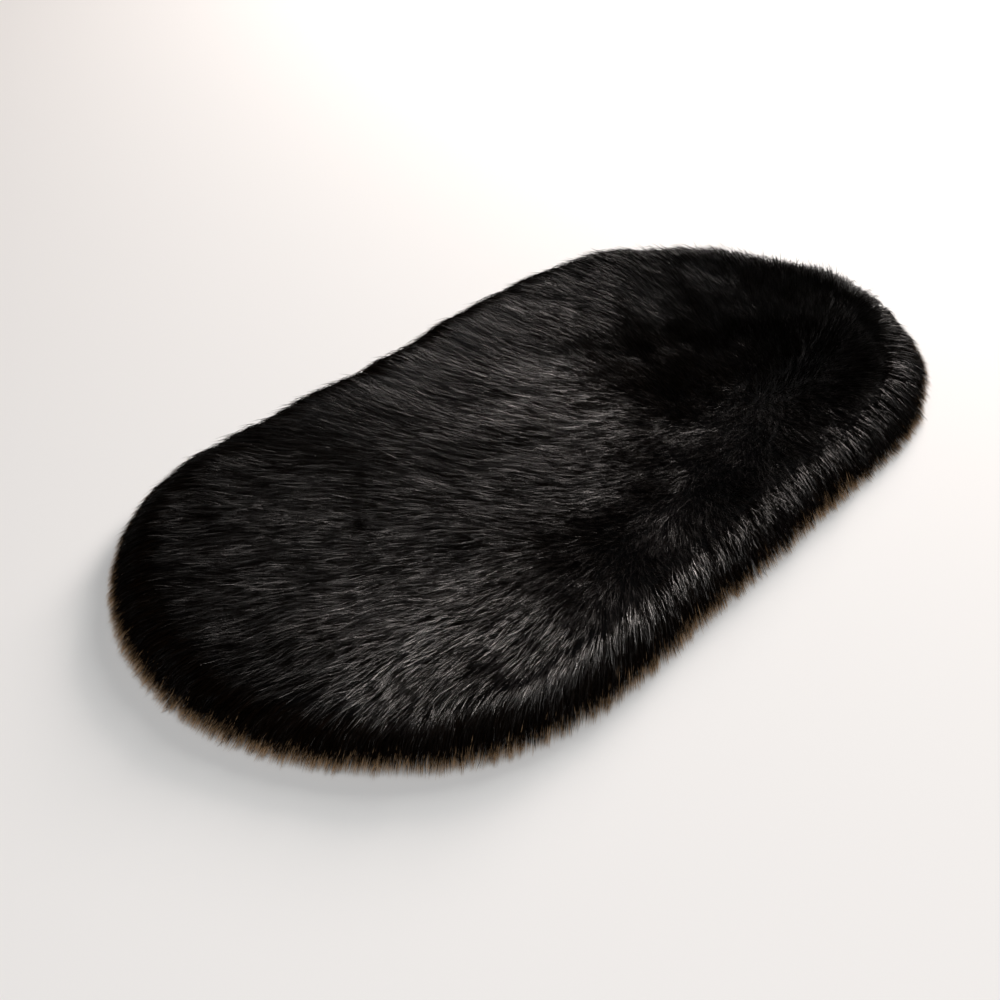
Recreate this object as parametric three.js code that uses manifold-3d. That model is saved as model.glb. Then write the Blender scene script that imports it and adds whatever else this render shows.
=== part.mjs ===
// Faux fur rug: one panel of deep black pile fabric, cut as a long oval with a slight waist and
// laid flat on the floor. Millimetres, +Z up, length along X, floor at z = 0.
// The solid is the pile as it lies: a soft slab with a rounded shoulder and a tufted top, and a
// fringe of pointed locks all round its rim.

import * as THREE from 'three';
import { mergeVertices } from 'three/addons/utils/BufferGeometryUtils.js';
import Module from 'manifold-3d';

// Size over the pile, from tip to tip
const LENGTH = 1270;
const WIDTH = 669;
const PILE_HEIGHT = 46;

// Plan outline: an oval drawn in at the waist, its left end the broader one
const WAIST_DEPTH = 0.337;
const WAIST_AT_X = -38;
const WAIST_SPREAD = 488;
const END_TAPER = 0.078;

// Places where the tips reach past the even outline or fall short of it, angles in degrees
const SWELLS = [
  { at: 17, reach: -10, spread: 12 },
  { at: 96, reach: -3, spread: 14 },
  { at: 150, reach: -5, spread: 14 },
  { at: 185, reach: 4, spread: 12 },
  { at: 270, reach: 10, spread: 12 },
  { at: 352, reach: 8, spread: 12 },
];

// The whorl that the pile is combed away from, a shallow dip
const WHORL_X = 190;
const WHORL_Y = -75;
const WHORL_DIP = 4;
const WHORL_SPREAD = 70;

// Tufts on the top: uneven lumps drawn out along the pile, which runs away from the whorl
const TUFT_HEIGHT = 5;
const TUFT_LENGTH = 84;
const TUFTS_ROUND = 40;
const TUFT_FULL_AT = 200;

// Slab: its rim lies inside the tips, its shoulder is a quarter round
const LOCK_REACH = 14;
const SHOULDER = 42;
const SHOULDER_STEPS = 4;
const TOP_STEPS = 10;
const COLUMNS = 132;
const SPINE = 385;

// Locks: two tiers, one lying on the floor and one springing from the shoulder above it.
// Roots are measured in from the slab's rim, and reach out from it, a little unevenly.
const LOCK_TIERS = [
  { count: 176, stations: 2, rootIn: 14, rootZ: 0, tipZ: 0, width: 16, thick: 18, reach: 13, more: 6 },
  { count: 88, stations: 1, rootIn: 20, rootZ: 20, tipZ: 13, width: 19, thick: 17, reach: 9, more: 6 },
];
// A lock's sections, as shares of its length, width and thickness
const LOCK_STATIONS = [
  { at: 0, width: 1, thick: 1 },
  { at: 0.55, width: 0.72, thick: 0.5 },
];
const LOCK_SWAY = 0.3;
const LOCK_SEED = 400;
const COMB_SHARE = 0.55;

// Repeatable uneven values between -1 and 1
function uneven(index) {
  const wave = Math.sin(index * 12.9898) * 43758.5453;
  return 2 * (wave - Math.floor(wave)) - 1;
}

function evenOval(angle, scale) {
  const along = Math.cos(angle);
  const waist = ((along * LENGTH) / 2 - WAIST_AT_X) / WAIST_SPREAD;
  const breadth = (1 - WAIST_DEPTH * Math.exp(-waist * waist)) * (1 - END_TAPER * along);
  return new THREE.Vector2((along * LENGTH) / 2, Math.sin(angle) * breadth * scale);
}

function widestBreadth() {
  let widest = 0;
  for (let degree = 0; degree < 180; degree += 1) {
    widest = Math.max(widest, evenOval(THREE.MathUtils.degToRad(degree), 1).y);
  }
  return widest;
}

const OVAL_SCALE = WIDTH / 2 / widestBreadth();

function outwardAt(angle) {
  const ahead = evenOval(angle + 0.01, OVAL_SCALE);
  const behind = evenOval(angle - 0.01, OVAL_SCALE);
  const run = ahead.sub(behind).normalize();
  return new THREE.Vector2(run.y, -run.x);
}

function swellAt(angle) {
  const degrees = THREE.MathUtils.radToDeg(angle);
  return SWELLS.reduce((sum, swell) => {
    const away = (THREE.MathUtils.euclideanModulo(degrees - swell.at + 180, 360) - 180) / swell.spread;
    return sum + swell.reach * Math.exp(-away * away);
  }, 0);
}

// A point of the plan, set in from the line of the tips
function rimPoint(angle, inset) {
  return evenOval(angle, OVAL_SCALE).addScaledVector(outwardAt(angle), swellAt(angle) - inset);
}

// Height of one tuft in a ring round the whorl
function tuftAt(ring, place) {
  return uneven(ring * TUFTS_ROUND + THREE.MathUtils.euclideanModulo(place, TUFTS_ROUND) + 1);
}

function tuftRelief(x, y) {
  const away = Math.hypot(x - WHORL_X, y - WHORL_Y);
  const round = Math.atan2(y - WHORL_Y, x - WHORL_X) / (2 * Math.PI);
  const ring = Math.floor(away / TUFT_LENGTH);
  const place = Math.floor(round * TUFTS_ROUND);
  const along = THREE.MathUtils.smoothstep(away / TUFT_LENGTH - ring, 0, 1);
  const across = THREE.MathUtils.smoothstep(round * TUFTS_ROUND - place, 0, 1);
  const near = THREE.MathUtils.lerp(tuftAt(ring, place), tuftAt(ring, place + 1), across);
  const far = THREE.MathUtils.lerp(tuftAt(ring + 1, place), tuftAt(ring + 1, place + 1), across);
  const tuft = THREE.MathUtils.lerp(near, far, along) * Math.min(1, away / TUFT_FULL_AT);
  return TUFT_HEIGHT * tuft - WHORL_DIP * Math.exp(-((away / WHORL_SPREAD) ** 2));
}

// The way in which the pile lies at the rim: partly straight out, partly combed from the whorl
function combedOut(point, outward) {
  const combed = point.clone().sub(new THREE.Vector2(WHORL_X, WHORL_Y)).normalize();
  return combed.multiplyScalar(COMB_SHARE).addScaledVector(outward, 1 - COMB_SHARE).normalize();
}

function solidFrom(positions, triangles) {
  const geometry = new THREE.BufferGeometry();
  geometry.setAttribute('position', new THREE.Float32BufferAttribute(positions, 3));
  geometry.setIndex(triangles);
  return mergeVertices(geometry);
}

// Slab: rings run from the floor up the shoulder and across the top to a spine along X,
// where the two sides meet in the same points
function slabGeometry() {
  const positions = [];
  const triangles = [];
  const rings = SHOULDER_STEPS + TOP_STEPS;
  for (let ring = 0; ring <= rings; ring += 1) {
    const turn = (Math.min(ring / SHOULDER_STEPS, 1) * Math.PI) / 2;
    const inset = LOCK_REACH + SHOULDER * (1 - Math.cos(turn));
    const across = Math.max(0, (ring - SHOULDER_STEPS) / TOP_STEPS);
    for (let column = 0; column < COLUMNS; column += 1) {
      const angle = (column / COLUMNS) * 2 * Math.PI;
      const spine = new THREE.Vector2(SPINE * Math.cos(angle), 0);
      const place = rimPoint(angle, inset).lerp(spine, across);
      const relief = tuftRelief(place.x, place.y) * Math.sin(turn) ** 2;
      positions.push(place.x, place.y, PILE_HEIGHT * Math.sin(turn) + relief);
    }
  }
  for (let ring = 0; ring < rings; ring += 1) {
    for (let column = 0; column < COLUMNS; column += 1) {
      const next = (column + 1) % COLUMNS;
      const outer = ring * COLUMNS;
      const inner = outer + COLUMNS;
      triangles.push(outer + column, outer + next, inner + next);
      triangles.push(outer + column, inner + next, inner + column);
    }
  }
  const underside = positions.length / 3;
  positions.push(0, 0, 0);
  for (let column = 0; column < COLUMNS; column += 1) {
    triangles.push(underside, (column + 1) % COLUMNS, column);
  }
  return solidFrom(positions, triangles);
}

// One lock: three-sided, flat below with a ridge above, from its root inside the slab to a point
function lockGeometry(tier, root, tip, run) {
  const side = new THREE.Vector3(-run.y, run.x, 0);
  const positions = [];
  const triangles = [0, 2, 1];
  for (const station of LOCK_STATIONS.slice(0, tier.stations)) {
    const foot = root.clone().lerp(tip, station.at);
    const half = (tier.width * station.width) / 2;
    positions.push(...foot.clone().addScaledVector(side, -half));
    positions.push(...foot.clone().addScaledVector(side, half));
    positions.push(foot.x, foot.y, foot.z + tier.thick * station.thick);
  }
  const point = positions.length / 3;
  positions.push(...tip);
  for (let station = 0; station < tier.stations; station += 1) {
    const first = 3 * station;
    for (const [from, to] of [[first, first + 1], [first + 1, first + 2], [first + 2, first]]) {
      if (first + 3 === point) {
        triangles.push(from, to, point);
      } else {
        triangles.push(from, to, to + 3, from, to + 3, from + 3);
      }
    }
  }
  return solidFrom(positions, triangles);
}

function lockGeometries() {
  const outline = [];
  for (let column = 0; column < COLUMNS; column += 1) {
    const place = rimPoint((column / COLUMNS) * 2 * Math.PI, LOCK_REACH);
    outline.push(new THREE.Vector3(place.x, place.y, 0));
  }
  const rim = new THREE.CatmullRomCurve3(outline, true);
  const locks = [];
  for (const tier of LOCK_TIERS) {
    for (let place = 0; place < tier.count; place += 1) {
      const share = place / tier.count;
      const seed = locks.length + 1;
      const start = rim.getPointAt(share);
      const tangent = rim.getTangentAt(share);
      const outward = new THREE.Vector2(tangent.y, -tangent.x);
      const run = combedOut(new THREE.Vector2(start.x, start.y), outward);
      run.rotateAround(new THREE.Vector2(), LOCK_SWAY * uneven(seed));
      const reach = tier.reach + tier.more * uneven(seed + LOCK_SEED);
      const level = new THREE.Vector3(run.x, run.y, 0);
      const root = start.clone().addScaledVector(level, -tier.rootIn).setZ(tier.rootZ);
      const tip = start.clone().addScaledVector(level, reach).setZ(tier.tipZ);
      locks.push(lockGeometry(tier, root, tip, run));
    }
  }
  return locks;
}

const wasm = await Module();
wasm.setup();

function toManifold(geometry) {
  return new wasm.Manifold(new wasm.Mesh({
    numProp: 3,
    vertProperties: new Float32Array(geometry.attributes.position.array),
    triVerts: new Uint32Array(geometry.index.array),
  }));
}

function toGeometry(manifold) {
  const mesh = manifold.getMesh();
  const geometry = new THREE.BufferGeometry();
  geometry.setAttribute('position', new THREE.BufferAttribute(mesh.vertProperties, 3));
  geometry.setIndex(new THREE.BufferAttribute(mesh.triVerts, 1));
  return geometry;
}

function furPanel() {
  let panel = toManifold(slabGeometry());
  for (const lock of lockGeometries()) {
    panel = panel.add(toManifold(lock));
  }
  const geometry = toGeometry(panel);
  geometry.computeBoundingBox();
  const middle = geometry.boundingBox.getCenter(new THREE.Vector3());
  geometry.translate(-middle.x, -middle.y, -geometry.boundingBox.min.z);
  geometry.computeVertexNormals();
  return geometry;
}

const blackPile = new THREE.MeshStandardMaterial({ color: '#161517', roughness: 0.62, metalness: 0 });

const rug = new THREE.Group();
const panel = new THREE.Mesh(furPanel(), blackPile);
panel.name = 'fur_panel';
rug.add(panel);

export default rug;
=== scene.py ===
import math

import bpy
import numpy as np
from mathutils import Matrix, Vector


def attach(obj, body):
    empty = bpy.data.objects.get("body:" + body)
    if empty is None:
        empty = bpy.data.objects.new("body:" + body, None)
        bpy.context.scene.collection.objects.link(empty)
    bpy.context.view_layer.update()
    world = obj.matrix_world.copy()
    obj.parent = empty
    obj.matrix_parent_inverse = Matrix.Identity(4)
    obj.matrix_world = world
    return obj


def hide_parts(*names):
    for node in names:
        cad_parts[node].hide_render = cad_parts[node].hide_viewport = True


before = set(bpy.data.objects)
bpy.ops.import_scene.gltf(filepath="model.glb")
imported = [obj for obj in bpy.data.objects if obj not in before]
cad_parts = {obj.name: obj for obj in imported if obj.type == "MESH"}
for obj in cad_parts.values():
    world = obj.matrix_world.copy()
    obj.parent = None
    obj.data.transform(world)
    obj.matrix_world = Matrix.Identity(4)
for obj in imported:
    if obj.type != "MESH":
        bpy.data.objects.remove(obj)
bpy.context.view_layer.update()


# The backing: a knitted cloth that the pile is locked into, cut to a long oval with a slight
# waist. Its edge lies well inside the tips of the pile, which are combed out over it, and its
# brushed underside lies flat on the floor.
LENGTH = 1.270
WIDTH = 0.669
WAIST_DEPTH = 0.337
WAIST_AT_X = -0.038
WAIST_SPREAD = 0.488
END_TAPER = 0.078
SWELLS = [
    {"at": 17, "reach": -0.010, "spread": 12},
    {"at": 96, "reach": -0.003, "spread": 14},
    {"at": 150, "reach": -0.005, "spread": 14},
    {"at": 185, "reach": 0.004, "spread": 12},
    {"at": 270, "reach": 0.010, "spread": 12},
    {"at": 352, "reach": 0.008, "spread": 12},
]
MIDDLE_X = 0.0014
MIDDLE_Y = 0.0012
CLOTH_INSET = 0.035
CLOTH_THICKNESS = 0.002
CLOTH_GRID = (60, 34)
CHARCOAL = (0.020, 0.019, 0.020)
PALE_CHARCOAL = (0.052, 0.050, 0.050)


def even_oval(angle):
    along = np.cos(angle)
    waist = (along * LENGTH / 2 - WAIST_AT_X) / WAIST_SPREAD
    breadth = (1 - WAIST_DEPTH * np.exp(-waist ** 2)) * (1 - END_TAPER * along)
    return np.stack([along * LENGTH / 2, np.sin(angle) * breadth], -1)


def tip_line(angle):
    """Where the tips of the pile reach in plan, and the way out of the outline there."""
    scale = np.array([1, WIDTH / 2 / even_oval(np.radians(np.arange(180)))[:, 1].max()])
    run = (even_oval(angle + 0.01) - even_oval(angle - 0.01)) * scale
    run /= np.linalg.norm(run, axis=-1)[..., None]
    out = np.stack([run[..., 1], -run[..., 0]], -1)
    swell = 0
    for each in SWELLS:
        away = ((np.degrees(angle) - each["at"] + 180) % 360 - 180) / each["spread"]
        swell = swell + each["reach"] * np.exp(-away ** 2)
    place = even_oval(angle) * scale + out * np.asarray(swell)[..., None]
    return place + [MIDDLE_X, MIDDLE_Y], out


def deselect():
    bpy.ops.object.select_all(action="DESELECT")


def oval_sheet(name, grid, inset):
    """A grid of faces spread over the oval, set in from the line of the tips."""
    deselect()
    bpy.ops.mesh.primitive_grid_add(x_subdivisions=grid[0], y_subdivisions=grid[1], size=2)
    sheet = bpy.context.object
    sheet.name = sheet.data.name = name
    square = np.array([vertex.co.xy for vertex in sheet.data.vertices])
    disc = square * np.sqrt(1 - square[:, ::-1] ** 2 / 2)
    place, out = tip_line(np.arctan2(disc[:, 1], disc[:, 0]))
    spread = (place - inset * out) * np.linalg.norm(disc, axis=1)[:, None]
    sheet.data.vertices.foreach_set("co", np.column_stack([spread, 0 * disc[:, 0]]).ravel())
    sheet.data.update()
    return sheet, spread


cloth, cloth_places = oval_sheet("backing_cloth", CLOTH_GRID, CLOTH_INSET)
felt = cloth.modifiers.new("thickness", "SOLIDIFY")
felt.thickness = CLOTH_THICKNESS
felt.offset = 1
bpy.ops.object.modifier_apply(modifier=felt.name)


class Channel:
    """A socket of a material that sums can be written with."""

    def __init__(self, tree, socket):
        self.tree = tree
        self.socket = socket

    def maths(self, operation, first, second):
        node = self.tree.nodes.new("ShaderNodeMath")
        node.operation = operation
        for socket, value in zip(node.inputs, (first, second)):
            if isinstance(value, Channel):
                self.tree.links.new(value.socket, socket)
            else:
                socket.default_value = value
        return Channel(self.tree, node.outputs[0])

    def __add__(self, other):
        return self.maths("ADD", self, other)

    def __radd__(self, other):
        return self.maths("ADD", other, self)

    def __mul__(self, other):
        return self.maths("MULTIPLY", self, other)

    def __rmul__(self, other):
        return self.maths("MULTIPLY", other, self)


class Finish:
    """A material in the making: its nodes are added by type, settings and sockets."""

    def __init__(self, name, **constant):
        self.material = bpy.data.materials.new(name)
        self.material.use_nodes = True
        self.tree = self.material.node_tree
        self.shader = self.tree.nodes["Principled BSDF"]
        for socket, value in constant.items():
            self.shader.inputs[socket.replace("_", " ")].default_value = value

    def node(self, kind, settings=None, stops=None, output=0, **sockets):
        node = self.tree.nodes.new("ShaderNode" + kind)
        for setting, value in (settings or {}).items():
            setattr(node, setting, value)
        if stops:
            for extra in stops[2:]:
                node.color_ramp.elements.new(extra[0])
            for element, (place, colour) in zip(node.color_ramp.elements, sorted(stops)):
                element.position = place
                element.color = (*colour, 1)
        for socket, value in sockets.items():
            wanted = node.inputs[socket.replace("_", " ")]
            if isinstance(value, Channel):
                self.tree.links.new(value.socket, wanted)
            else:
                wanted.default_value = value
        return Channel(self.tree, node.outputs[output])

    def mix(self, share, first, second):
        """A colour between two others."""
        node = self.tree.nodes.new("ShaderNodeMix")
        node.data_type = "RGBA"
        for socket, value in zip((node.inputs[0], node.inputs[6], node.inputs[7]), (share, first, second)):
            if isinstance(value, Channel):
                self.tree.links.new(value.socket, socket)
            else:
                socket.default_value = value if isinstance(value, float) else (*value, 1)
        return Channel(self.tree, node.outputs[2])

    def feed(self, **sockets):
        for socket, value in sockets.items():
            self.tree.links.new(value.socket, self.shader.inputs[socket.replace("_", " ")])


# Charcoal jersey, brushed on the side that lies on the floor
knit = Finish("brushed_jersey", Roughness=0.92, Specular_IOR_Level=0.2)
spot = knit.node("TexCoord", output=3)
rows = knit.node("TexWave", Vector=spot, Scale=260.0, Distortion=1.2, Detail=1.0)
nap = knit.node("TexNoise", Vector=spot, Scale=90.0, Detail=4.0)
knit.feed(
    Base_Color=knit.mix(nap, CHARCOAL, PALE_CHARCOAL),
    Normal=knit.node("Bump", Strength=0.5, Distance=0.0006, Height=rows * 0.5 + nap * 0.6),
)
cloth.data.materials.append(knit.material)


# The under-pile: short dense fibres that stand up out of the backing and fill it, so that no
# cloth shows between the longer ones. It is the same knitted-in pile, matted and dull black.
PILE_HEIGHT = 0.046
SHOULDER = 0.054
SHOULDER_FALL = 2.1
SHOULDER_ROUND = 0.55
FOOT_INSET = 0.002
UNDER_SHARE = 0.62
UNDER_INSET = 0.032
UNDER_GRID = (100, 56)
UNDER_CLEARANCE = 0.0005
UNDER_LIP = 0.001
WHORL = np.array([0.1914, -0.0738])
WHORL_DIP = 0.004
WHORL_SPREAD = 0.070
TUFT_HEIGHT = 0.005
TUFT_LENGTH = 0.084
TUFTS_ROUND = 40
TUFT_FULL_AT = 0.200
SOOT = (0.0015, 0.0014, 0.0014)
PALE_SOOT = (0.006, 0.0055, 0.0055)

rim_angles = np.linspace(0, 2 * np.pi, 2880, endpoint=False)
rim_places, rim_outs = tip_line(rim_angles)
rim_polar = np.arctan2(rim_places[:, 1], rim_places[:, 0]) % (2 * np.pi)
rim_order = np.argsort(rim_polar)


def round_rim(polar, values):
    return np.interp(polar, rim_polar[rim_order], values[rim_order], period=2 * np.pi)


def inset_at(place):
    """How far a place lies in from the line of the tips, and the way out from it."""
    away = np.linalg.norm(place, axis=-1)
    polar = np.arctan2(place[..., 1], place[..., 0]) % (2 * np.pi)
    out = np.stack([round_rim(polar, rim_outs[:, 0]), round_rim(polar, rim_outs[:, 1])], -1)
    out /= np.linalg.norm(out, axis=-1)[..., None]
    slant = (out * place).sum(-1) / np.maximum(away, 1e-6)
    reach = round_rim(polar, np.linalg.norm(rim_places, axis=1))
    return (reach - away) * slant, out


def tuft_at(ring, place):
    wave = np.sin((ring * TUFTS_ROUND + place % TUFTS_ROUND + 1) * 12.9898) * 43758.5453
    return 2 * (wave - np.floor(wave)) - 1


def eased(share):
    return share * share * (3 - 2 * share)


def pile_top(place):
    """Height of the pile's surface: a soft shoulder all round, and tufts drawn out from the whorl."""
    inset, out = inset_at(place)
    shoulder = np.clip(1 - (inset - FOOT_INSET) / SHOULDER, 0, 1)
    rise = (1 - shoulder ** SHOULDER_FALL) ** SHOULDER_ROUND
    offset = place - WHORL
    away = np.linalg.norm(offset, axis=-1)
    turn = np.arctan2(offset[..., 1], offset[..., 0]) / (2 * np.pi) * TUFTS_ROUND
    ring = np.floor(away / TUFT_LENGTH)
    tuft = np.floor(turn)
    across = eased(turn - tuft)
    along = eased(away / TUFT_LENGTH - ring)
    near = tuft_at(ring, tuft) * (1 - across) + tuft_at(ring, tuft + 1) * across
    far = tuft_at(ring + 1, tuft) * (1 - across) + tuft_at(ring + 1, tuft + 1) * across
    relief = TUFT_HEIGHT * (near * (1 - along) + far * along) * np.minimum(1, away / TUFT_FULL_AT)
    relief -= WHORL_DIP * np.exp(-(away / WHORL_SPREAD) ** 2)
    return PILE_HEIGHT * rise + relief * rise ** 2


under, under_places = oval_sheet("under_pile", UNDER_GRID, UNDER_INSET)
height = np.maximum(UNDER_SHARE * pile_top(under_places), CLOTH_THICKNESS + UNDER_CLEARANCE)
under.data.vertices.foreach_set("co", np.column_stack([under_places, height]).ravel())
bpy.ops.object.mode_set(mode="EDIT")
bpy.ops.mesh.select_all(action="DESELECT")
bpy.ops.mesh.select_mode(type="EDGE")
bpy.ops.mesh.select_non_manifold()
bpy.ops.mesh.extrude_edges_move(TRANSFORM_OT_translate={"value": (0, 0, -UNDER_LIP)})
bpy.ops.transform.resize(value=(1, 1, 0))
bpy.ops.mesh.edge_face_add()
bpy.ops.mesh.select_all(action="SELECT")
bpy.ops.mesh.normals_make_consistent(inside=False)
bpy.ops.mesh.faces_shade_smooth()
bpy.ops.object.mode_set(mode="OBJECT")

matted = Finish("matted_pile", Roughness=0.9, Specular_IOR_Level=0.05)
spot = matted.node("TexCoord", output=3)
tangle = matted.node("TexNoise", Vector=spot, Scale=420.0, Detail=3.0)
matted.feed(
    Base_Color=matted.mix(tangle, SOOT, PALE_SOOT),
    Normal=matted.node("Bump", Strength=0.8, Distance=0.002, Height=tangle),
)
under.data.materials.append(matted.material)


# The combed pile: long glossy black acrylic fibres, locked into the backing with the under-pile,
# that cling together in fine pointed locks. They are combed to both sides of a parting, and fan
# over the cut edge down to the floor, where their tips are a fine brown, lightened with painted light
# shining through them.
HALF_FIELD = (0.66, 0.36)
LOCK_PITCH = 0.0062
RIM_BAND = 0.080
RIM_COMB = 0.75
RIM_COMB_DEPTH = 0.055
COMB_SPREAD = 0.065
CALM_DEPTH = 0.1
LEAST_WAVE = 0.35
# How far locks and fibres turn from the way they are combed, in radians, and more where loose
SWAY = 0.07
LOOSE_LOCK_SWAY = 0.5
LOOSE_FIBRE_SWAY = 0.4
# Shares of the full reach, how far a lock lies over, and where the ends lie by the line of tips
LOCK_REACH = (0.85, 1.12)
FIBRE_REACH = (0.82, 1.12)
LIE_RANGE = (0.2, 1.05)
LOCK_END = (-0.005, 0.003)
FIBRE_END = (-0.007, 0.002)
AIRY_END = 0.003
LEAST_REACH = 0.008
LEAST_SLANT = 0.35
# Heights: of a lock's own lift, of the few fibres that fly, and the lowest and highest of all
LOCK_LIFT = 0.0014
FLYING = 0.010
FLYING_FEW = 9
LEAST_TOP = 0.0015
LOWEST = 0.0006
HIGHEST = 0.060
# Shine: the share that a lock's fibres have in common, the gain, and that of the bent rim fibres. The
# combing's shine sets gloss and also lightens the base colour, as painted sheen
LOCK_SHARE = 0.45
GLOSS_AND_PAINTED_SHEEN_GAIN = 2.4
BENT_SHINE = 0.4
# Slow unevenness: how wide its patches are, how much they change, and the seed of their draw
WAVE_PATCHES = [
    {"size": 0.150, "by": 0.10, "seed": 5},
    {"size": 0.050, "by": 0.16, "seed": 6},
    {"size": 0.020, "by": 0.07, "seed": 7},
]
LIE_PATCHES = [
    {"size": 0.034, "by": 0.18, "seed": 9},
]
LIFT_PATCHES = [
    {"size": 0.026, "by": 0.0040, "seed": 8},
    {"size": 0.065, "by": 0.0030, "seed": 10},
]
# Patches of shine: they change gloss, and the base colour's painted sheen with it
GLOSS_AND_PAINTED_SHEEN_PATCHES = [
    {"size": 0.045, "by": 0.45, "seed": 12},
    {"size": 0.018, "by": 0.40, "seed": 13},
]
# Which way the pile runs at places on the rug, in degrees, how far it lies over (1 fully), how
# brightly its fibres shine there (their gloss, and their base colour lightened as painted sheen) and how
# far their tips droop
COMBING = [
    {"x": -0.52, "y": 0.12, "way": 163, "lie": 1.00, "gloss_and_painted_sheen": 0.12, "droop": 0.000},
    {"x": -0.52, "y": -0.06, "way": 176, "lie": 1.00, "gloss_and_painted_sheen": 0.04, "droop": 0.000},
    {"x": -0.43, "y": -0.18, "way": 192, "lie": 1.00, "gloss_and_painted_sheen": 1.00, "droop": 0.000},
    {"x": -0.57, "y": -0.18, "way": 200, "lie": 1.00, "gloss_and_painted_sheen": 0.60, "droop": 0.000},
    {"x": -0.46, "y": -0.27, "way": 216, "lie": 0.85, "gloss_and_painted_sheen": 0.90, "droop": 0.000},
    {"x": -0.32, "y": 0.20, "way": 160, "lie": 1.00, "gloss_and_painted_sheen": 0.08, "droop": 0.000},
    {"x": -0.30, "y": -0.02, "way": 168, "lie": 1.00, "gloss_and_painted_sheen": 0.10, "droop": 0.000},
    {"x": -0.28, "y": -0.24, "way": 195, "lie": 1.00, "gloss_and_painted_sheen": 1.00, "droop": 0.000},
    {"x": -0.12, "y": 0.24, "way": 122, "lie": 1.00, "gloss_and_painted_sheen": 0.27, "droop": 0.000},
    {"x": -0.12, "y": 0.06, "way": 137, "lie": 1.00, "gloss_and_painted_sheen": 0.20, "droop": 0.000},
    {"x": -0.12, "y": -0.10, "way": 150, "lie": 0.95, "gloss_and_painted_sheen": 0.05, "droop": 0.000},
    {"x": -0.12, "y": -0.24, "way": 228, "lie": 0.90, "gloss_and_painted_sheen": 0.50, "droop": 0.002},
    {"x": 0.08, "y": 0.22, "way": 126, "lie": 1.00, "gloss_and_painted_sheen": 0.35, "droop": 0.000},
    {"x": 0.06, "y": 0.02, "way": 148, "lie": 1.00, "gloss_and_painted_sheen": 0.60, "droop": 0.000},
    {"x": 0.04, "y": -0.14, "way": 175, "lie": 0.70, "gloss_and_painted_sheen": 0.18, "droop": 0.004},
    {"x": 0.06, "y": -0.25, "way": 240, "lie": 0.80, "gloss_and_painted_sheen": 0.05, "droop": 0.007},
    {"x": 0.22, "y": 0.22, "way": 131, "lie": 1.00, "gloss_and_painted_sheen": 0.15, "droop": 0.000},
    {"x": 0.16, "y": -0.08, "way": 180, "lie": 0.50, "gloss_and_painted_sheen": 0.28, "droop": 0.002},
    {"x": 0.24, "y": 0.02, "way": 122, "lie": 0.40, "gloss_and_painted_sheen": 0.12, "droop": 0.000},
    {"x": 0.20, "y": -0.25, "way": 236, "lie": 0.80, "gloss_and_painted_sheen": 0.03, "droop": 0.008},
    {"x": 0.36, "y": 0.18, "way": 120, "lie": 0.75, "gloss_and_painted_sheen": 0.05, "droop": 0.000},
    {"x": 0.36, "y": -0.04, "way": 100, "lie": 0.30, "gloss_and_painted_sheen": 0.00, "droop": 0.000},
    {"x": 0.36, "y": -0.23, "way": 250, "lie": 0.80, "gloss_and_painted_sheen": 0.00, "droop": 0.007},
    {"x": 0.48, "y": 0.14, "way": 95, "lie": 0.60, "gloss_and_painted_sheen": 0.00, "droop": 0.000},
    {"x": 0.52, "y": -0.04, "way": 40, "lie": 0.60, "gloss_and_painted_sheen": 0.00, "droop": 0.000},
    {"x": 0.48, "y": -0.20, "way": 300, "lie": 0.70, "gloss_and_painted_sheen": 0.00, "droop": 0.004},
]
# Each row is a station along a fibre: how far along it lies, how high in the pile, how much it
# is drawn into its lock, how far it strays, how much it stands off below, and its radius
LONG_ROWS = [
    {"at": 0.04, "rise": 0.58, "gather": 0.00, "stray": 0.0, "loft": 0.0, "radius": 0.00046},
    {"at": 0.42, "rise": 0.84, "gather": 0.20, "stray": 0.0006, "loft": 0.0, "radius": 0.00042},
    {"at": 1.00, "rise": 1.04, "gather": 0.46, "stray": 0.0010, "loft": 0.0, "radius": 0.00005},
]
FINE_ROWS = [
    {"at": 0.10, "rise": 0.60, "gather": 0.00, "stray": 0.0, "loft": 0.0, "radius": 0.00038},
    {"at": 1.00, "rise": 0.98, "gather": 0.25, "stray": 0.0014, "loft": 0.0, "radius": 0.00004},
]
RIM_ROWS = [
    {"at": 0.04, "rise": 0.44, "gather": 0.00, "stray": 0.0, "loft": 0.0, "radius": 0.00050},
    {"at": 0.34, "rise": 0.80, "gather": 0.14, "stray": 0.0006, "loft": 0.0, "radius": 0.00046},
    {"at": 0.74, "rise": 0.95, "gather": 0.30, "stray": 0.0008, "loft": 0.25, "radius": 0.00038},
    {"at": 1.00, "rise": 1.04, "gather": 0.50, "stray": 0.0009, "loft": 0.75, "radius": 0.00004},
]
# Kinds of fibre: how close they stand, from and to how far in, their reach, how many make one
# piece, how deep they may sink, and their stations
STRANDS = [
    {"name": "long_pile", "pitch": 0.0044, "from": RIM_BAND, "to": 1.0, "reach": 0.055,
     "a_piece": 18000, "sunk": 0.14, "rows": LONG_ROWS},
    {"name": "fine_pile", "pitch": 0.0027, "from": 0.095, "to": 1.0, "reach": 0.051,
     "a_piece": 40000, "sunk": 0.24, "rows": FINE_ROWS},
    {"name": "rim_pile", "pitch": 0.0023, "from": CLOTH_INSET, "to": RIM_BAND, "reach": 0.088,
     "a_piece": 12000, "sunk": 0.22, "rows": RIM_ROWS},
]

rng = np.random.default_rng(41)


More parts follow.
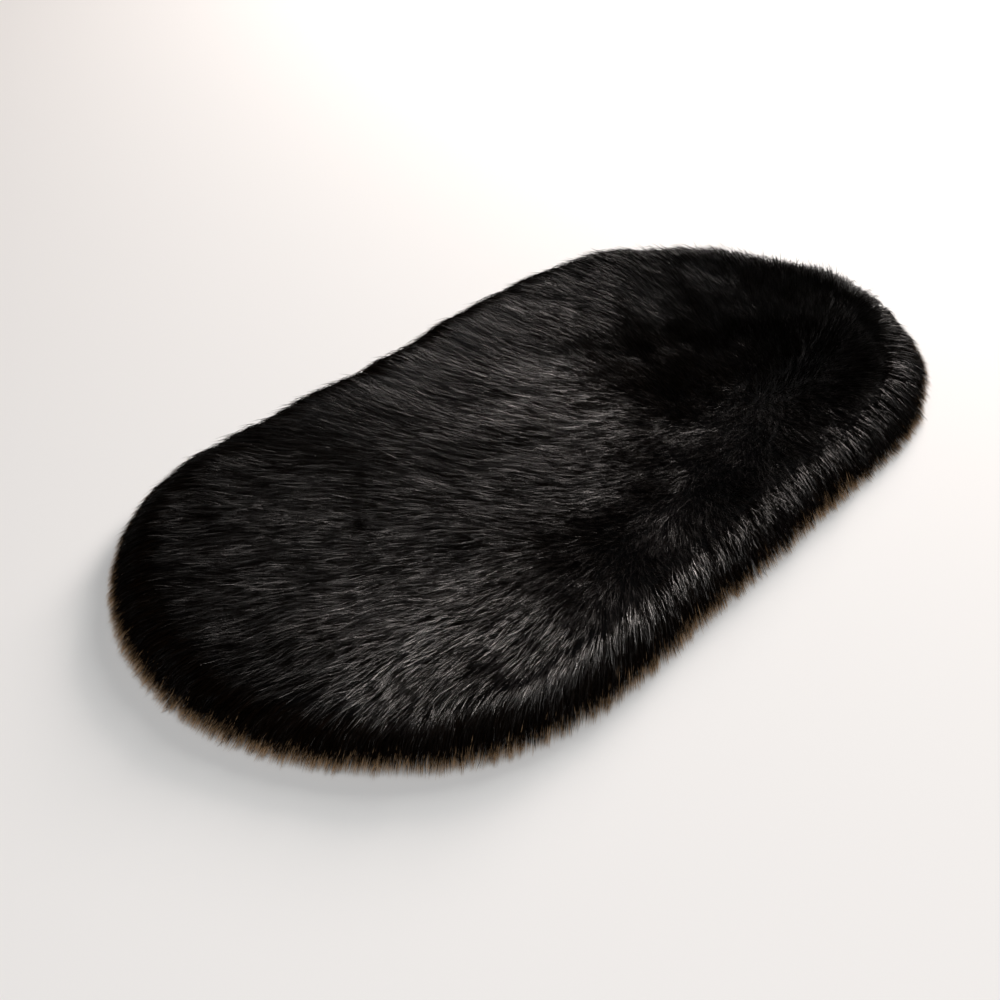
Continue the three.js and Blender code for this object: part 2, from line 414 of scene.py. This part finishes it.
def drift(place, size, seed):
    """Slow uneven values between -1 and 1 over the rug, in patches of about this size."""
    table = np.random.default_rng(seed).uniform(-1, 1, (160, 120))
    scaled = place / size + [80, 60]
    cell = np.floor(scaled).astype(int)
    share = eased(scaled - cell)
    x, y = cell[..., 0] % 159, cell[..., 1] % 119
    low = table[x, y] * (1 - share[..., 0]) + table[x + 1, y] * share[..., 0]
    high = table[x, y + 1] * (1 - share[..., 0]) + table[x + 1, y + 1] * share[..., 0]
    return low * (1 - share[..., 1]) + high * share[..., 1]


def patchy(place, patches):
    """The sum of several kinds of slow unevenness at each place."""
    return sum(each["by"] * drift(place, each["size"], each["seed"]) for each in patches)


def turned(run, angle):
    cos, sin = np.cos(angle), np.sin(angle)
    return np.stack([run[..., 0] * cos - run[..., 1] * sin, run[..., 0] * sin + run[..., 1] * cos], -1)


def combed(place):
    """The way in which the pile runs at a place, and how far it lies over, shines (gloss, and painted
    sheen in the base colour) and droops.
    """
    inset, out = inset_at(place)
    run, lie, gloss_and_painted_sheen, droop, total = 0, 0, 0, 0, 0
    for spot in COMBING:
        near = np.exp(-((place - [spot["x"], spot["y"]]) ** 2).sum(-1) / (2 * COMB_SPREAD ** 2)) + 1e-8
        way = math.radians(spot["way"])
        run = run + near[..., None] * np.array([math.cos(way), math.sin(way)])
        lie = lie + near * spot["lie"]
        gloss_and_painted_sheen = gloss_and_painted_sheen + near * spot["gloss_and_painted_sheen"]
        droop = droop + near * spot["droop"]
        total = total + near
    # Where the ways around a place disagree, the pile stands up
    agreed = np.linalg.norm(run, axis=-1) / total
    lie = lie / total * np.clip(1.5 * agreed - 0.45, 0.15, 1)
    run = run / np.maximum(np.linalg.norm(run, axis=-1), 1e-6)[..., None]
    share = (RIM_COMB * np.exp(-np.maximum(inset, 0) / RIM_COMB_DEPTH))[..., None]
    run = run * (1 - share) + out * share
    run /= np.linalg.norm(run, axis=-1)[..., None]
    calm = np.clip(inset / CALM_DEPTH, LEAST_WAVE, 1)
    lie = lie + 0.5 * (1 - lie) * share[..., 0]
    return turned(run, patchy(place, WAVE_PATCHES) * calm), lie, gloss_and_painted_sheen / total, droop / total


def jittered(pitch):
    """A grid of roots over the whole rug, each moved a little at random."""
    x, y = np.meshgrid(*[np.arange(-half, half, pitch) for half in HALF_FIELD], indexing="ij")
    return np.stack([x, y], -1) + rng.uniform(-0.5, 0.5, (*x.shape, 2)) * pitch


lock_grid = jittered(LOCK_PITCH)
lock_root = lock_grid.reshape(-1, 2)
locks = len(lock_root)
lock_run, lock_lie, lock_gloss_and_painted_sheen, lock_droop = combed(lock_root)
lock_sway = rng.normal(0, SWAY, locks) + rng.normal(0, LOOSE_LOCK_SWAY, locks) * (1 - lock_lie)
lock_run = turned(lock_run, lock_sway)
lock_lie = np.clip(lock_lie + patchy(lock_root, LIE_PATCHES), *LIE_RANGE)
lock_reach = rng.uniform(*LOCK_REACH, locks) * lock_lie
lock_lift = rng.normal(0, LOCK_LIFT, locks) - lock_droop + patchy(lock_root, LIFT_PATCHES)
lock_tone = rng.uniform(0, 1, locks)
# The shine also lightens the fibres' base colour below: painted sheen, besides their real gloss
lock_gloss_and_painted_sheen = np.clip(lock_gloss_and_painted_sheen * (1 + patchy(lock_root, GLOSS_AND_PAINTED_SHEEN_PATCHES)), 0, 1)
lock_end = rng.uniform(*LOCK_END, locks)


def lock_of(place):
    """The nearest lock to each place."""
    cell = np.floor((place + HALF_FIELD) / LOCK_PITCH).astype(int)
    best = np.full(len(place), 1e9)
    nearest = np.zeros(len(place), int)
    for step_x in (-1, 0, 1):
        for step_y in (-1, 0, 1):
            near = np.clip(cell + [step_x, step_y], 0, np.array(lock_grid.shape[:2]) - 1)
            gap = ((lock_grid[near[:, 0], near[:, 1]] - place) ** 2).sum(1)
            closer = gap < best
            best[closer] = gap[closer]
            nearest[closer] = (near[:, 0] * lock_grid.shape[1] + near[:, 1])[closer]
    return nearest


def held_in(reach, place, run, end):
    """Fibres near the edge bend down to the floor before they pass the line of the tips."""
    inset, out = inset_at(place)
    slant = np.maximum((run * out).sum(-1), LEAST_SLANT)
    return np.minimum(reach, np.maximum(inset - end, LEAST_REACH) / slant)


def laid(kind):
    """Points along each strand: it leaves the under-pile, rises, and lies over the next ones."""
    root = jittered(kind["pitch"]).reshape(-1, 2)
    inset = inset_at(root)[0]
    root = root[(inset > kind["from"]) & (inset <= kind["to"])]
    root = root[np.argsort(root[:, 0])]
    count = len(root)
    home = lock_of(root)
    sway = rng.normal(0, SWAY, count) + rng.normal(0, LOOSE_FIBRE_SWAY, count) * (1 - lock_lie[home])
    run = turned(lock_run[home], sway)
    home_free = kind["reach"] * lock_reach[home]
    free = home_free * rng.uniform(*FIBRE_REACH, count)
    airy = rng.random(count)
    flying = FLYING * rng.random(count) ** FLYING_FEW
    end = lock_end[home] + rng.uniform(*FIBRE_END, count) + AIRY_END * airy
    reach = held_in(free, root, run, end)
    home_reach = held_in(home_free, lock_root[home], lock_run[home], lock_end[home])
    level = 1 - kind["sunk"] * rng.random(count) ** 1.5
    uneven = LOCK_SHARE * lock_tone[home] + (1 - LOCK_SHARE) * rng.random(count)
    # Tone sets gloss and roughness and lightens the base colour: random, and painted sheen where the
    # combing shines
    tone = np.clip(GLOSS_AND_PAINTED_SHEEN_GAIN * lock_gloss_and_painted_sheen[home] * uneven ** 2, 0, 1)
    points = []
    for row in kind["rows"]:
        own = root + run * (reach * row["at"])[:, None]
        tip = lock_root[home] + lock_run[home] * (home_reach * row["at"])[:, None]
        place = own * (1 - row["gather"]) + tip * row["gather"]
        place += rng.normal(0, row["stray"], place.shape)
        top = pile_top(place) + (lock_lift[home] + flying) * row["at"]
        high = np.clip(row["rise"] * level * np.maximum(top, LEAST_TOP), LOWEST, HIGHEST)
        if row["loft"]:
            high += np.maximum(points[-1][:, 2] - high, 0) * row["loft"] * airy
        points.append(np.column_stack([place, high]))
    bent = reach < free
    return np.stack(points, 1), np.where(bent, BENT_SHINE * (1 - airy) ** 2, tone), bent


def fibre_mesh(name, points, widths, tones):
    """Three-sided tapering fibres as one mesh, with their tone and length as its UV map."""
    count, stations = points.shape[:2]
    run = np.gradient(points, axis=1)
    run /= np.linalg.norm(run, axis=2)[..., None]
    side = np.cross(run, [0.0, 0.0, 1.0])
    side /= np.maximum(np.linalg.norm(side, axis=2), 1e-6)[..., None]
    over = np.cross(side, run)
    twist = rng.uniform(0, 2 * np.pi, count)
    corners_round = [(twist + corner * 2 * np.pi / 3)[:, None, None] for corner in range(3)]
    arms = np.stack([np.cos(angle) * side + np.sin(angle) * over for angle in corners_round], 2)[:, :-1]
    rings = points[:, :-1, None] + arms * np.asarray(widths)[None, :-1, None, None]
    per_fibre = 3 * (stations - 1) + 1
    vertices = np.concatenate([rings.reshape(count, -1, 3), points[:, -1:]], 1).reshape(-1, 3)
    # Corners of one fibre's triangles: its root, its sides and its point
    pattern = [(0, 1, 2)]
    for station in range(stations - 2):
        for corner in range(3):
            low, low_next = 3 * station + corner, 3 * station + (corner + 1) % 3
            pattern += [(low, low + 3, low_next + 3), (low, low_next + 3, low_next)]
    for corner in range(3):
        low = 3 * (stations - 2)
        pattern.append((low + corner, per_fibre - 1, low + (corner + 1) % 3))
    pattern = np.array(pattern)
    corners = (pattern[None] + per_fibre * np.arange(count)[:, None, None]).ravel()
    mesh = bpy.data.meshes.new(name)
    mesh.vertices.add(len(vertices))
    mesh.vertices.foreach_set("co", vertices.ravel())
    mesh.loops.add(len(corners))
    mesh.loops.foreach_set("vertex_index", corners.astype(np.int32))
    mesh.polygons.add(len(corners) // 3)
    mesh.polygons.foreach_set("loop_start", np.arange(0, len(corners), 3, dtype=np.int32))
    mesh.polygons.foreach_set("use_smooth", np.ones(len(corners) // 3, bool))
    along = np.repeat(np.arange(stations) / (stations - 1), 3)[: per_fibre]
    across = np.append(np.tile([0.0, 0.5, 1.0], stations - 1), 0.5)
    pattern_v = along[pattern]
    pattern_v[0] = [0.0, 0.04, 0.0]
    layer = mesh.uv_layers.new(name="OFBake")
    # Each fibre is a narrow strip of the map, as far across as its tone: how glossy it is, and how far its
    # base colour is lightened, partly as painted sheen
    tone = 0.02 + 0.93 * tones[:, None, None] + 0.03 * across[pattern][None]
    uv = np.stack([tone, np.broadcast_to(pattern_v[None], tone.shape)], -1)
    layer.uv.foreach_set("vector", uv.astype(np.float32).ravel())
    mesh.update(calc_edges=True)
    # A fibre is round: its surface faces straight away from its own middle, up to its very tip
    facing = arms.reshape(count, -1, 3)
    facing = np.concatenate([facing, facing[:, -1:]], 1)[:, pattern]
    for corner in range(3):
        face = len(pattern) - 3 + corner
        facing[:, face, 1] = facing[:, face, 0] + facing[:, face, 2]
    facing /= np.linalg.norm(facing, axis=-1)[..., None]
    mesh.normals_split_custom_set(facing.reshape(-1, 3))
    piece = bpy.data.objects.new(name, mesh)
    bpy.context.collection.objects.link(piece)
    return piece


# Black acrylic: near black, some fibres glossier than others and lightened by painted sheen where the
# combing shines, and browner tips at the rim, partly painted light shining through them
COAL = (0.0007, 0.0005, 0.0004)
DARK_BROWN = (0.0054, 0.0028, 0.0014)
BROWN_WITH_PAINTED_SHEEN = (0.0070, 0.0042, 0.0028)
BLACK_TIP = (0.0024, 0.0017, 0.0014)
# Light tan at the rim tips: the fibres' own brown, lightened with painted light shining through the thin
# tips
BROWN_AND_PAINTED_BACKLIT_TIP = (0.420, 0.270, 0.150)


def acrylic(name, tip, tip_from, tip_spread, gloss, coat):
    """Fibre material, with its tip's colour from a share of its length on."""
    finish = Finish(name, Specular_IOR_Level=gloss, Coat_Roughness=0.24)
    fibre_uv = finish.node("UVMap", {"uv_map": "OFBake"})
    split = finish.node("SeparateXYZ", Vector=fibre_uv)
    tone = Channel(finish.tree, split.socket.node.outputs["X"])
    along = Channel(finish.tree, split.socket.node.outputs["Y"])
    # Base colour: near black, lighter and browner with tone; where the combing shines this is painted
    # sheen
    deep = finish.node("ValToRGB", stops=[(0.0, COAL), (1.0, BROWN_WITH_PAINTED_SHEEN), (0.2, DARK_BROWN)], Fac=tone)
    reached = along + tip_spread * tone
    share = finish.node("MapRange", {"clamp": True}, Value=reached, From_Min=tip_from, From_Max=1.0)
    finish.feed(Base_Color=finish.mix(share, deep, tip), Roughness=0.30 + tone * 0.10)
    if coat:
        finish.feed(Coat_Weight=tone * coat)
    return finish.material


glossy = acrylic(
    "black_acrylic_fibre", BLACK_TIP, tip_from=0.3, tip_spread=0.0, gloss=0.045, coat=0.9,
)
# Bent rim fibres: their tips take the tan above, partly painted light shining through them
painted_backlit_brown_tipped = acrylic(
    "painted_backlit_brown_tipped_fibre", BROWN_AND_PAINTED_BACKLIT_TIP, tip_from=0.90, tip_spread=0.55, gloss=0.012, coat=0.0,
)

fibres = []
for kind in STRANDS:
    points, tones, bent = laid(kind)
    radii = [row["radius"] for row in kind["rows"]]
    groups = [(kind["name"], np.arange(len(points)), glossy)]
    if kind["name"] == "rim_pile":
        groups = [
            ("rim_pile", np.flatnonzero(~bent), glossy),
            ("rim_pile_tips", np.flatnonzero(bent), painted_backlit_brown_tipped),
        ]
    for name, chosen, surface in groups:
        parts = math.ceil(len(chosen) / kind["a_piece"])
        for number, part in enumerate(np.array_split(chosen, parts)):
            piece = fibre_mesh(f"{name}_{number + 1}", points[part], radii, tones[part])
            piece.data.materials.append(surface)
            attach(piece, "root")
            fibres.append(piece)

for piece in (cloth, under):
    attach(piece, "root")
for piece in (under, *fibres):
    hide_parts("fur_panel")


# Studio: a plain pale floor, two large soft lights beyond the right end, one of them low, and a
# weak fill from the left.
FLOOR_SIDE = 14
FLOOR_WHITE = (0.84, 0.835, 0.83, 1)
WORLD_LIGHT = 0.04
deselect()
bpy.ops.mesh.primitive_plane_add(size=FLOOR_SIDE)
floor = bpy.context.object
floor.name = "floor"
paint = Finish("pale_floor", Base_Color=FLOOR_WHITE, Roughness=0.9)
floor.data.materials.append(paint.material)


def lamp(name, place, size, power, colour=(1, 1, 1)):
    """A soft rectangle of light, turned to the middle of the rug."""
    light = bpy.data.lights.new(name, "AREA")
    light.shape = "RECTANGLE"
    light.size, light.size_y = size
    light.energy = power
    light.color = colour
    holder = bpy.data.objects.new(name, light)
    bpy.context.collection.objects.link(holder)
    holder.location = place
    holder.rotation_euler = (-Vector(place)).to_track_quat("-Z", "Y").to_euler()


lamp("window_light", place=(4.4, 1.2, 1.45), size=(1.9, 1.3), power=280, colour=(1.0, 0.900, 0.850))
lamp("high_light", place=(3.6, 0.4, 2.3), size=(2.0, 1.6), power=90, colour=(1.0, 0.98, 0.95))
lamp("fill_light", place=(-1.75, -1.5, 3.3), size=(2.0, 2.0), power=90)
world = bpy.context.scene.world or bpy.data.worlds.new("studio")
bpy.context.scene.world = world
world.use_nodes = True
world.node_tree.nodes["Background"].inputs[0].default_value = (1, 1, 1, 1)
world.node_tree.nodes["Background"].inputs[1].default_value = WORLD_LIGHT

# Camera: the photograph's view, from beyond the near left corner
LENS = 50
CAMERA_AZIMUTH = -49.6
CAMERA_ELEVATION = 36.0
CAMERA_DISTANCE = 1.725
CAMERA_AIM = (-0.1344, -0.0040, 0)
azimuth = math.radians(CAMERA_AZIMUTH)
elevation = math.radians(CAMERA_ELEVATION)
camera = bpy.data.objects.new("camera", bpy.data.cameras.new("camera"))
bpy.context.collection.objects.link(camera)
camera.data.lens = LENS
level = math.cos(elevation)
back = Vector((math.sin(azimuth) * level, -math.cos(azimuth) * level, math.sin(elevation)))
camera.location = Vector(CAMERA_AIM) + back * CAMERA_DISTANCE
camera.rotation_euler = (-back).to_track_quat("-Z", "Y").to_euler()
bpy.context.scene.camera = camera
bpy.context.scene.view_settings.view_transform = "Standard"
